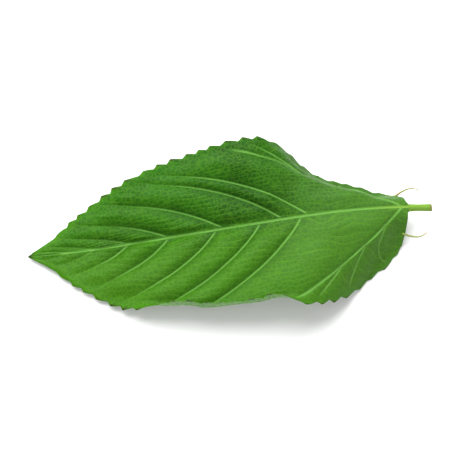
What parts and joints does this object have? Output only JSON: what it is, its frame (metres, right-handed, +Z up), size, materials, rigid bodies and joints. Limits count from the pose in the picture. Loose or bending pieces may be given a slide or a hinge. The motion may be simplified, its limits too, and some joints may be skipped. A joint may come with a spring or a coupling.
{
  "type": "jute leaf",
  "caption": "Fresh green leaf with a saw-toothed margin, two hair-like basal tails and a short stalk, lying face up on a surface.",
  "frame": {"origin": "on the surface the leaf rests on, under the middle of its bounding box", "axes": "+X from the stalk to the tip, +Z up, +Y towards the side whose margin curls up"},
  "size_m": [0.111, 0.0496, 0.0133],
  "materials": {
    "leaf": "satin"
  },
  "bodies": {
    "root": {"leaf": "leaf"}
  },
  "joints": []
}
